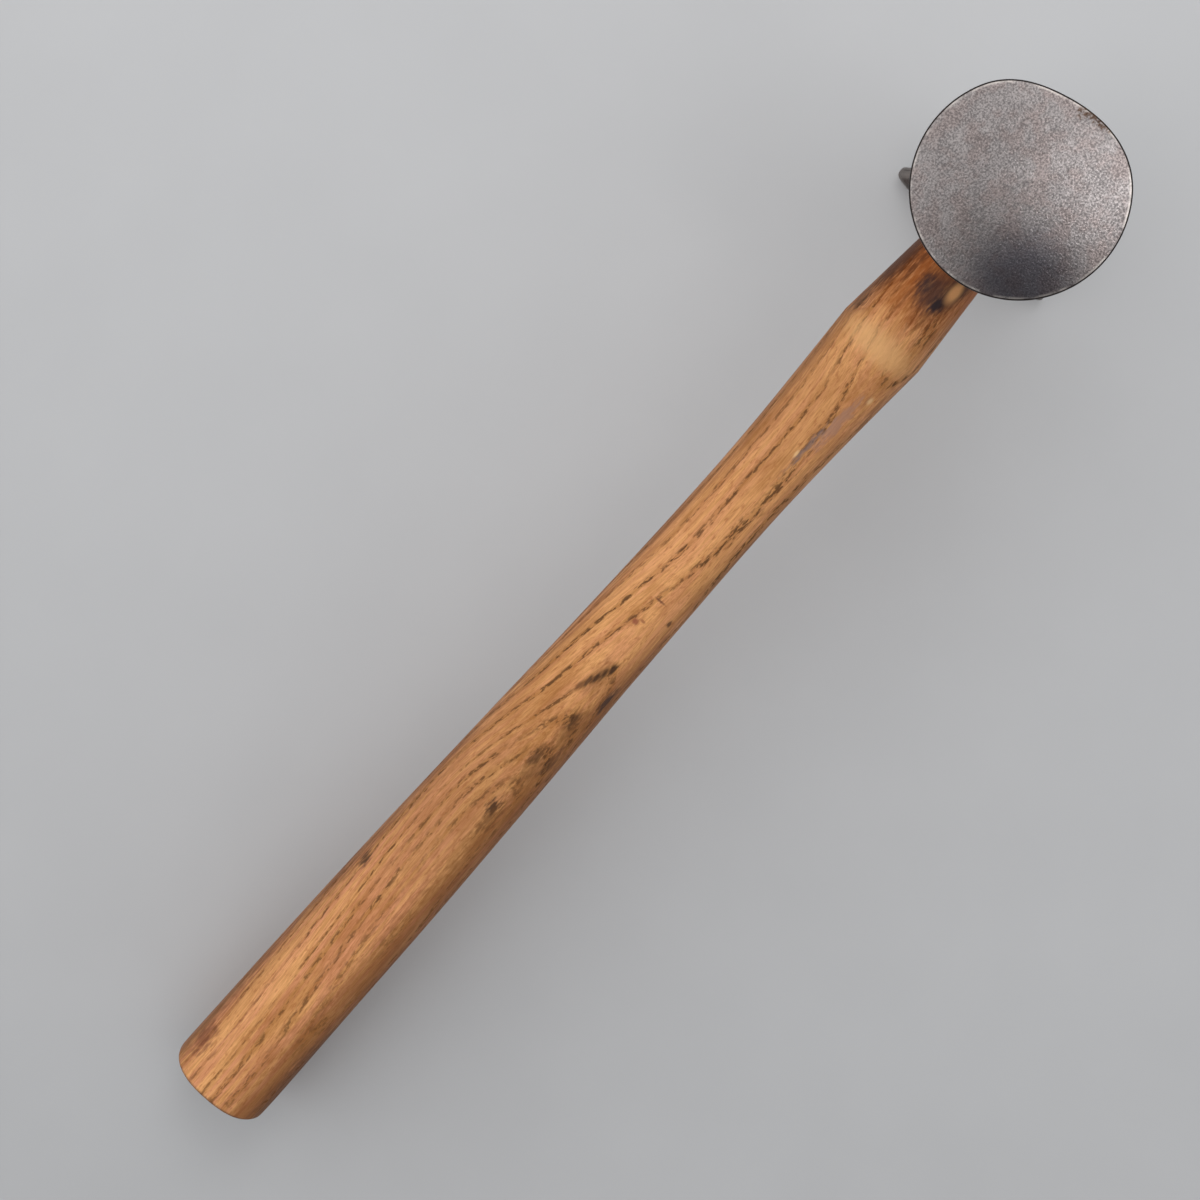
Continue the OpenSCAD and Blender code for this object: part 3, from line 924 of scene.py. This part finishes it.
row = between(grain, into_ring, *ROW_RISE)
row = times(grain, row, between(grain, into_ring, *ROW_FALL, 1.0, 0.0))
faint = streaky(grain, warped, FAINT_LENGTH, FAINT_WIDTH)
row = times(grain, row, between(grain, faint, 0.3, 0.56, 0.3, 1.0))
row = times(grain, row, between(grain, ring_tone, 0.0, 0.5, 0.7, 1.0))
join(grain, out["Row"], row)
dashes = streaky(grain, warped, PORE_LENGTH, PORE_WIDTH, roughness=0.6)
join(grain, out["Pores"], times(grain, row, between(grain, dashes, 0.46, 0.6)))
join(grain, out["Fibre"], streaky(grain, warped, FIBRE_LENGTH, FIBRE_WIDTH, 5.0, 0.7))
print("group", grain.name, "gives", [socket.name for socket in out if socket.name])

# %% [markdown]
# ## Oiled ash
# The handle is old ash, browned by oil and hands. The billet was not split quite along the trunk,
# so its rings wander: they shift sideways by some millimetres over the length, and swell on one
# side, which draws nested arches there. The swell and the shift move the place that the grain
# group is asked about.

# %% Run of the grain
PITH = (0.0, -30.0, 34.0)
RING_WAY = (0.0, 0.79, -0.61)
RING_SHIFTS = ((0.0, 90.0, -6.2), (90.0, 132.0, 6.6), (122.0, 172.0, 5.2), (203.0, 246.0, -5.4))
SWELL, SWELL_FROM, SWELL_TO, SWELL_SIDE = 0.036, (50.0, 84.0), (138.0, 156.0), 1.5
ASH_RINGS = {"Young_Radius": 36.7, "Young_Ring": 2.406, "Old_Ring": 4.13}

ash, tree, shader = new_material("oiled_ash")
place_mm = hammer_place(tree)
along_mm, across_mm, _ = add(tree, "SeparateXYZ", Vector=place_mm).outputs
beyond = calc(tree, "MAXIMUM", calc(tree, "SUBTRACT", SWELL_SIDE, across_mm), 0.0)
begun, ended = between(tree, along_mm, *SWELL_FROM), between(tree, along_mm, *SWELL_TO)
swell = times(tree, calc(tree, "SUBTRACT", begun, ended), SWELL)
shift = times(tree, swell, times(tree, beyond, beyond))
for start, end, by in RING_SHIFTS:
    shift = calc(tree, "ADD", shift, between(tree, along_mm, start, end, 0.0, by))
shift = add(tree, "VectorMath", operation="SCALE", Vector=RING_WAY, Scale=shift).outputs[0]
grain_place = vector_calc(tree, "ADD", place_mm, shift)
wood = use_group(tree, grain, Place=grain_place, Pith=PITH, **ASH_RINGS)
print(ash.name, "shifts its rings", len(RING_SHIFTS), "times")

# %% [markdown]
# Between the rows the wood goes from gold to salmon, redder toward the butt, with browner streaks
# along the fibres, small flecks, and slow patches of grime over that. The sides are darker than
# the top: partly grime, as hands keep the top clean, and partly painted shade where the sides turn
# away from the light. The right side is painted darker brown, partly a brown of the wood and
# partly painted shade on the side away from the light. Each layer is a mask and a colour, laid
# over the colour before it. The pores come next, since they are filled with dirt, and the sawn
# ends are darkest.

# %% Ash colours
GOLD, SALMON, FLECK = paint(222, 163, 106), paint(213, 147, 106), paint(168, 104, 64)
BROWN, SIDE_BROWN_AND_SHADE = paint(144, 87, 31), paint(108, 58, 13)

flush = between(tree, streaky(tree, grain_place, 38.0, 1.5, detail=3.0), 0.38, 0.62)
reddish = between(tree, along_mm, 60.0, 125.0, 1.0, 0.6)
colour = blend(tree, times(tree, flush, reddish), GOLD, SALMON)
colour = blend(tree, between(tree, wood["Fibre"], 0.36, 0.66, 0.0, 0.44), colour, BROWN)
flecks = streaky(tree, grain_place, 1.8, 0.5)
colour = blend(tree, between(tree, flecks, 0.54, 0.72, 0.0, 0.6), colour, FLECK)
grime = streaky(tree, place_mm, 26.0, 6.0, detail=5.0, roughness=0.6)
colour = blend(tree, between(tree, grime, 0.44, 0.74, 0.0, 0.6), colour, BROWN)
print("gold, salmon, flecks and grime are laid on", ash.name)

# %% Brown sides with painted shade
BROWN_TO, BROWN_FROM, BROWN_RAGGED = -8.4, -2.8, 5.0

facing_up = one_way(tree, add(tree, "NewGeometry").outputs["Normal"], UP)
# Painted shade with grime: the sides are darkened by how far they turn away from the light overhead.
side_shade_and_grime = between(tree, calc(tree, "ABSOLUTE", facing_up), 0.1, 0.92, 0.66, 0.0)
streaks = between(tree, streaky(tree, grain_place, 30.0, 0.9, detail=3.0), 0.36, 0.64, 0.35, 1.3)
colour = blend(tree, times(tree, side_shade_and_grime, streaks), colour, SIDE_BROWN_AND_SHADE)
ragged_edge = waver(tree, place_mm)
# Painted shade with a brown of the wood: the right side, away from the light, is darkened.
right_brown_and_shade = calc(tree, "MULTIPLY_ADD", ragged_edge, BROWN_RAGGED, across_mm)
right_brown_and_shade = between(tree, right_brown_and_shade, BROWN_TO, BROWN_FROM, 1.0, 0.0)
right_brown_and_shade = times(tree, right_brown_and_shade, between(tree, along_mm, 126.0, 156.0, 0.56, 0.0))
colour = blend(tree, right_brown_and_shade, colour, SIDE_BROWN_AND_SHADE)
print("brown from", BROWN_FROM, "to", BROWN_TO, "mm across")

# %% Pores and sawn ends
PORE_HALO, PORE_DARK, END_DARK = paint(158, 103, 50), paint(74, 48, 28), paint(74, 50, 36)

filled = between(tree, along_mm, 0.0, 90.0, 0.5, 0.82)
colour = blend(tree, times(tree, wood["Row"], 0.48), colour, PORE_HALO)
colour = blend(tree, times(tree, wood["Pores"], filled), colour, PORE_DARK)
butt_end = between(tree, along_mm, 0.2, 1.4, 0.75, 0.0)
colour = blend(tree, butt_end, colour, END_DARK)
tenon_end = between(tree, along_mm, TENON_END - 0.7, TENON_END - 0.1, 0.0, 0.5)
colour = blend(tree, tenon_end, colour, END_DARK)
print("pores and ends of", ash.name, "are dark")

# %% [markdown]
# Then come the marks that this handle has: knots, gouges, a pale rubbed band at the shoulder and
# an iron stain where it meets the steel. Each has its middle and its reach along, across and up,
# how ragged its edge is, its colour and its strength. Later ones lie over earlier ones.

# %% Marks on the handle
WOOD_MARKS = (
    ("palm grime", (90.0, 1.0, 12.0), (38.0, 13.0, 14.0), 1.2, (122, 80, 42), 0.32),
    ("brown of the throat", (204.0, 2.0, 12.0), (26.0, 14.0, 12.0), 1.2, (132, 84, 44), 0.25),
    ("palm flank", (68.0, 12.6, 6.0), (62.0, 4.6, 12.0), 1.2, (100, 56, 22), 0.5),
    ("oil at the neck", (250.0, 2.0, 6.0), (23.0, 18.0, 22.0), 1.2, (148, 74, 16), 0.88),
    ("start of the neck", (237.0, 3.0, 12.0), (9.0, 12.0, 12.0), 0.8, (158, 86, 30), 0.5),
    ("neck edge", (244.0, 8.8, 6.0), (19.0, 5.2, 10.0), 0.9, (70, 34, 8), 0.92),
    ("neck streak", (246.0, 5.2, 12.0), (15.0, 0.9, 4.0), 1.8, (88, 44, 14), 0.7),
    ("neck streak", (240.0, 2.4, 13.0), (12.0, 0.7, 4.0), 1.8, (104, 54, 20), 0.6),
    ("neck streak", (236.0, -3.4, 12.0), (9.0, 0.7, 4.0), 1.8, (104, 54, 20), 0.5),
    ("iron haze", (243.0, -2.4, 11.0), (12.0, 6.5, 8.0), 0.8, (88, 58, 46), 0.6),
    ("iron cloud", (241.0, -1.0, 12.0), (6.0, 4.6, 6.0), 1.2, (66, 48, 46), 0.62),
    ("iron core", (239.6, -3.6, 12.0), (3.0, 2.0, 5.0), 0.9, (40, 32, 38), 0.9),
    ("iron lobe", (241.4, 1.0, 12.5), (3.0, 1.8, 5.0), 1.2, (50, 40, 44), 0.65),
    ("iron edge", (247.0, -5.5, 10.0), (5.5, 3.2, 6.0), 1.0, (62, 44, 38), 0.75),
    ("dark by the head", (256.0, -2.0, 9.0), (5.0, 10.0, 12.0), 0.9, (60, 40, 30), 0.7),
    ("oval shade", (244.0, -4.6, 11.0), (5.8, 3.0, 5.0), 0.5, (50, 37, 35), 0.8),
    ("pale oval", (244.0, -4.7, 11.0), (4.0, 1.8, 5.0), 0.2, (206, 150, 98), 0.95),
    ("rubbed shoulder", (225.2, -0.5, 12.5), (5.0, 13.0, 9.0), 0.9, (216, 166, 112), 0.7),
    ("shoulder corner", (229.6, 9.4, 8.4), (4.2, 2.0, 6.0), 1.6, (72, 44, 28), 0.75),
    ("shoulder chip", (230.6, 9.6, 8.0), (1.2, 0.6, 3.0), 0.8, (206, 166, 130), 0.8),
    ("gash shade", (131.5, -2.8, 12.2), (7.0, 2.6, 3.0), 1.2, (112, 72, 38), 0.5),
    ("gash start", (127.8, -0.8, 12.6), (2.6, 0.8, 2.0), 0.9, (92, 58, 36), 0.75),
    ("gash", (129.6, -1.6, 12.5), (2.4, 0.75, 2.0), 0.9, (74, 48, 32), 0.8),
    ("gash", (131.4, -2.5, 12.4), (2.4, 0.75, 2.0), 0.9, (58, 38, 26), 0.85),
    ("gash", (133.2, -3.3, 12.2), (2.5, 0.85, 2.0), 0.9, (48, 31, 22), 0.9),
    ("gash end", (135.0, -4.1, 12.0), (2.4, 0.8, 2.0), 0.9, (48, 31, 22), 0.88),
    ("arch shade", (107.0, -4.8, 12.0), (9.0, 3.2, 4.0), 1.2, (106, 68, 36), 0.5),
    ("arch tip", (109.4, -4.1, 12.4), (3.0, 1.7, 3.0), 1.4, (76, 49, 29), 0.7),
    ("arch shade", (118.5, -5.6, 11.4), (8.0, 2.8, 4.0), 1.2, (106, 68, 36), 0.5),
    ("arch tip", (120.6, -5.0, 11.6), (2.8, 1.7, 3.0), 1.4, (76, 49, 29), 0.7),
    ("edge streak", (128.3, -8.0, 8.5), (5.6, 1.3, 2.5), 1.6, (50, 32, 24), 0.88),
    ("edge blotch", (110.0, -7.5, 10.2), (5.0, 1.6, 3.0), 2.0, (66, 42, 28), 0.55),
    ("thumb knot", (94.5, -4.6, 13.2), (2.9, 1.9, 3.0), 2.0, (56, 36, 26), 0.88),
    ("knot shade", (92.0, -5.6, 12.6), (6.0, 2.4, 4.0), 2.0, (104, 66, 36), 0.6),
    ("palm knot", (65.6, 9.1, 10.2), (3.0, 1.7, 3.0), 2.0, (62, 38, 26), 0.82),
    ("scratch", (153.2, -1.8, 12.2), (0.45, 2.0, 2.0), 0.5, (96, 54, 42), 0.8),
    ("red mark", (146.4, -0.6, 12.2), (1.0, 1.2, 2.0), 1.6, (128, 62, 48), 0.75),
    ("red tail", (147.4, -1.9, 12.2), (0.5, 1.0, 2.0), 0.8, (128, 62, 48), 0.6),
    ("dark spot", (150.2, -6.6, 9.4), (1.2, 0.8, 2.0), 1.4, (70, 44, 32), 0.8),
    ("splinter", (196.6, -2.4, 12.0), (1.5, 0.6, 2.0), 0.8, (218, 178, 128), 0.8),
    ("pale chip", (215.2, -6.7, 10.8), (1.5, 0.7, 2.0), 0.8, (216, 176, 128), 0.8),
    ("bluish streak", (199.0, -3.2, 12.0), (9.0, 0.9, 3.0), 2.2, (122, 102, 98), 0.7),
    ("bluish veil", (207.0, -4.8, 11.5), (10.0, 1.6, 3.0), 2.0, (160, 124, 108), 0.6),
    ("butt corner", (9.5, 8.8, 11.0), (6.0, 3.2, 5.0), 2.0, (110, 60, 42), 0.7),
    ("butt flank", (14.0, 12.0, 5.0), (30.0, 4.4, 10.0), 1.2, (110, 66, 34), 0.6),
    ("butt edge", (14.0, -11.6, 4.0), (30.0, 4.6, 10.0), 1.2, (90, 50, 22), 0.75),
)

for _, middle, reach, ragged, shade, strength in WOOD_MARKS:
    spot = spot_mask(tree, place_mm, ragged_edge, middle, reach, ragged)
    colour = blend(tree, times(tree, spot, strength), colour, paint(*shade))
join(tree, shader["Base Color"], colour)
print(ash.name, "has", len(WOOD_MARKS), "marks")

# %% Finish of the ash
join(tree, shader["Roughness"], between(tree, wood["Pores"], 0.0, 1.0, 0.5, 0.75))
shader["Specular IOR Level"].default_value = 0.14
height = calc(tree, "MULTIPLY_ADD", wood["Pores"], -1.0, times(tree, wood["Fibre"], 0.5))
bump(tree, shader, height, strength=0.6, depth=0.15)
dress(handle, ash)

# %% [markdown]
# The kerf wedge is a paler offcut of the same kind of wood, split across, so it has its own pith
# and narrower rings.

# %% Wedge wood
wedge_wood, tree, shader = new_material("wedge_wood")
place_mm = hammer_place(tree)
WEDGE_RING_SIZES = {"Young_Radius": 20.0, "Young_Ring": 1.1, "Old_Ring": 1.3}
wood = use_group(tree, grain, Place=place_mm, Pith=(0.0, 25.0, 8.0), **WEDGE_RING_SIZES)
colour = blend(tree, wood["Fibre"], paint(200, 160, 112), paint(150, 108, 68))
colour = blend(tree, times(tree, wood["Pores"], 0.7), colour, paint(80, 56, 40))
join(tree, shader["Base Color"], colour)
join(tree, shader["Roughness"], between(tree, wood["Fibre"], 0.3, 0.7, 0.55, 0.75))
bump(tree, shader, wood["Fibre"], strength=0.5, depth=0.1)
dress(wooden_wedge, wedge_wood)

# %% [markdown]
# ## Worn steel
# Steel in a workshop grows a thin brown-grey patina, with fine pits and a little rust. Shaders
# treat it as a metal whose colour, roughness and height all follow one speckle. The group takes
# the size of the pits and the two colours, so the rubbed face, the forged body and the little
# wedge can all use it.

# %% Steel group
BROAD_SCALE, FLUSH_SCALE, RUST_SCALE = 0.16, 0.22, 0.32
STEEL_FLUSH, STEEL_RUST = paint(247, 236, 233), paint(98, 62, 44)

worn_steel, given, out = new_group(
    "worn_steel",
    {
        "Place": "Vector",
        "Pit Size": "Float",
        "Pit Share": "Float",
        "Bright": "Color",
        "Dark": "Color",
        "Rust": "Float",
    },
    {"Colour": "Color", "Roughness": "Float", "Height": "Float"},
)
pits = vector_calc(worn_steel, "DIVIDE", given["Place"], given["Pit Size"])
fine = speckle(worn_steel, pits, 1.0, detail=2.0, roughness=0.6)
broad = speckle(worn_steel, given["Place"], BROAD_SCALE, detail=4.0, roughness=0.6)
tone = add(worn_steel, "Mix", Factor=given["Pit Share"], A=broad, B=fine).outputs[0]
colour = blend(worn_steel, between(worn_steel, tone, 0.32, 0.68), given["Dark"], given["Bright"])
flush = speckle(worn_steel, given["Place"], FLUSH_SCALE, detail=5.0, roughness=0.6)
flush = between(worn_steel, flush, 0.42, 0.62, 0.1, 0.8)
colour = blend(worn_steel, flush, colour, STEEL_FLUSH, "MULTIPLY")
rust = speckle(worn_steel, given["Place"], RUST_SCALE, detail=5.0, roughness=0.65)
rust = times(worn_steel, between(worn_steel, rust, 0.56, 0.7), given["Rust"])
join(worn_steel, out["Colour"], blend(worn_steel, rust, colour, STEEL_RUST))
rough = between(worn_steel, fine, 0.3, 0.7, 0.37, 0.27)
join(worn_steel, out["Roughness"], calc(worn_steel, "MULTIPLY_ADD", rust, 0.3, rough))
join(worn_steel, out["Height"], fine)
print("group", worn_steel.name, "gives", [socket.name for socket in out if socket.name])

# %% [markdown]
# On the head, the face is rubbed to a satin pinkish grey. A thin line inside the rim is painted
# bright, a painted highlight on the eased edge. The rim itself is painted dark, as painted shade
# and a painted dark reflection. The forged body below is dark too, apart from the pein edge, which
# is worn from use.

# %% Parts of the head
FACE_RISE = (1.0, 2.2)
RIM_BAND = (0.24, 0.42)
BEVEL_BAND, BEVEL_SHINE = (0.45, 0.9), 0.6

steel, tree, shader = new_material("head_steel")
place_mm = hammer_place(tree)
ragged_edge = waver(tree, place_mm)
inside = add(tree, "Attribute", attribute_name="inside_rim").outputs["Fac"]
up_mm = add(tree, "SeparateXYZ", Vector=place_mm).outputs["Z"]
on_top = between(tree, up_mm, rim_low + FACE_RISE[0], rim_low + FACE_RISE[1])
face_part = times(tree, on_top, between(tree, inside, *RIM_BAND))
on_rim = between(tree, up_mm, rim_low - 0.4, rim_low + 3.0, 0.15, 1.0)
on_rim = times(tree, on_rim, between(tree, up_mm, rim_low - 0.6, rim_low))
rim_shade = times(tree, on_rim, between(tree, inside, *RIM_BAND, 1.0, 0.0))
# Painted highlight: a thin bright line just inside the rim, where the eased edge catches the light.
bevel_highlight = times(tree, face_part, between(tree, inside, *BEVEL_BAND, BEVEL_SHINE, 0.0))
broken = between(tree, speckle(tree, place_mm, 0.25, detail=5.0), 0.42, 0.6)
bevel_highlight = times(tree, bevel_highlight, broken)
print("the face starts", RIM_BAND[0], "mm inside the rim")

# %% Steel and marks of the head
FACE_STEEL = {"Pit_Size": 0.4, "Pit_Share": 0.8, "Rust": 0.06}
FACE_STEEL.update(Bright=paint(168, 162, 161), Dark=paint(108, 104, 104))
BODY_STEEL = {"Pit_Size": 0.7, "Pit_Share": 0.4, "Rust": 0.55}
BODY_STEEL.update(Bright=paint(124, 118, 115), Dark=paint(70, 65, 63))
STEEL_MARKS = {
    "pein edge": ((HANDLE_L - PEIN_DROOP, 0.0, -PEIN_REACH - 2.0), (6.0, 60.0, 4.5), 0.8),
    # Painted shade: the face is darkened and tinted blue at its end toward the handle.
    "painted face shade": ((HANDLE_L - 13.6, -12.4, FACE_TOP - CROWN / 2), (15.0, 15.0, 7.0), 0.3),
    "chip": ((HANDLE_L + 19.7, -2.0, FACE_TOP - CROWN), (1.3, 5.4, 3.0), 1.6),
    "chip head": ((HANDLE_L + 19.2, 0.8, FACE_TOP - CROWN), (1.9, 1.8, 3.0), 1.8),
}

face = use_group(tree, worn_steel, Place=place_mm, **FACE_STEEL)
body = use_group(tree, worn_steel, Place=place_mm, **BODY_STEEL)
spots = {
    name: spot_mask(tree, place_mm, ragged_edge, *values) for name, values in STEEL_MARKS.items()
}
polished = calc(tree, "MAXIMUM", face_part, times(tree, spots["pein edge"], 0.8))
print(steel.name, "has marks:", ", ".join(spots))

# %% Colours of the head
WORN_EDGE, BEVEL_HIGHLIGHT, DARK_RIM = paint(158, 151, 146), paint(222, 214, 208), paint(44, 39, 38)
FACE_SHADE_TINT = paint(188, 190, 201)
CHIP_DARK, CHIP_PALE = paint(52, 36, 28), paint(126, 98, 80)

bulge_here = add(tree, "Attribute", attribute_name="bulge").outputs["Fac"]
worn_edge = calc(tree, "MULTIPLY_ADD", ragged_edge, 0.25, bulge_here)
worn_edge = between(tree, worn_edge, 0.14, 0.5, 0.0, 0.55)
colour = blend(tree, worn_edge, body["Colour"], WORN_EDGE)
# Painted shade multiplied into the face's colour at its end toward the handle.
shaded_face = blend(tree, spots["painted face shade"], face["Colour"], FACE_SHADE_TINT, "MULTIPLY")
colour = blend(tree, polished, colour, shaded_face)
colour = blend(tree, bevel_highlight, colour, BEVEL_HIGHLIGHT)
colour = blend(tree, rim_shade, colour, DARK_RIM)
chip = calc(tree, "MAXIMUM", spots["chip"], spots["chip head"])
eaten = between(tree, speckle(tree, place_mm, 1.2, detail=3.0), 0.4, 0.56, 0.25, 1.0)
chip = times(tree, chip, eaten)
rusty = blend(tree, speckle(tree, place_mm, 1.1, detail=3.0), CHIP_DARK, CHIP_PALE)
colour = blend(tree, times(tree, chip, 0.92), colour, rusty)
join(tree, shader["Base Color"], colour)
print("colours of", steel.name, "are laid")

# %% Finish of the head
FACE_POLISH, BODY_PITS = 0.3, 0.55

shader["Metallic"].default_value = 1.0
rough = add(tree, "Mix", Factor=polished, A=body["Roughness"], B=face["Roughness"]).outputs[0]
join(tree, shader["Roughness"], calc(tree, "MULTIPLY_ADD", chip, 0.3, rough))
rubbed = times(tree, face["Height"], FACE_POLISH)
pitted = times(tree, body["Height"], BODY_PITS)
height = add(tree, "Mix", Factor=polished, A=pitted, B=rubbed).outputs[0]
bump(tree, shader, height, strength=1.0, depth=0.18)
dress(head, steel)

# %% [markdown]
# The steel wedge is a snip of bar that was filed to a taper. Nothing rubs it, so it has rusted
# more.

# %% Wedge steel
WEDGE_STEEL = {"Pit_Size": 0.5, "Pit_Share": 0.6, "Rust": 0.8}
WEDGE_STEEL.update(Bright=paint(150, 142, 136), Dark=paint(80, 72, 68))

wedge_steel, tree, shader = new_material("wedge_steel")
filed = use_group(tree, worn_steel, Place=hammer_place(tree), **WEDGE_STEEL)
join(tree, shader["Base Color"], filed["Colour"])
shader["Metallic"].default_value = 1.0
join(tree, shader["Roughness"], filed["Roughness"])
bump(tree, shader, filed["Height"], strength=0.5, depth=0.1)
dress(steel_wedge, wedge_steel)

# %% [markdown]
# ## Riding on the frame
# Each piece stands for one imported solid and rides on the one body.

# %% Ride
PIECES = (
    (head, "hammer_head", "steel"),
    (handle, "handle", "ash"),
    (wooden_wedge, "wooden_wedge", "wedge_wood"),
    (steel_wedge, "steel_wedge", "wedge_steel"),
)
for piece, node, slot in PIECES:
    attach(piece, "root")
    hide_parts(node)
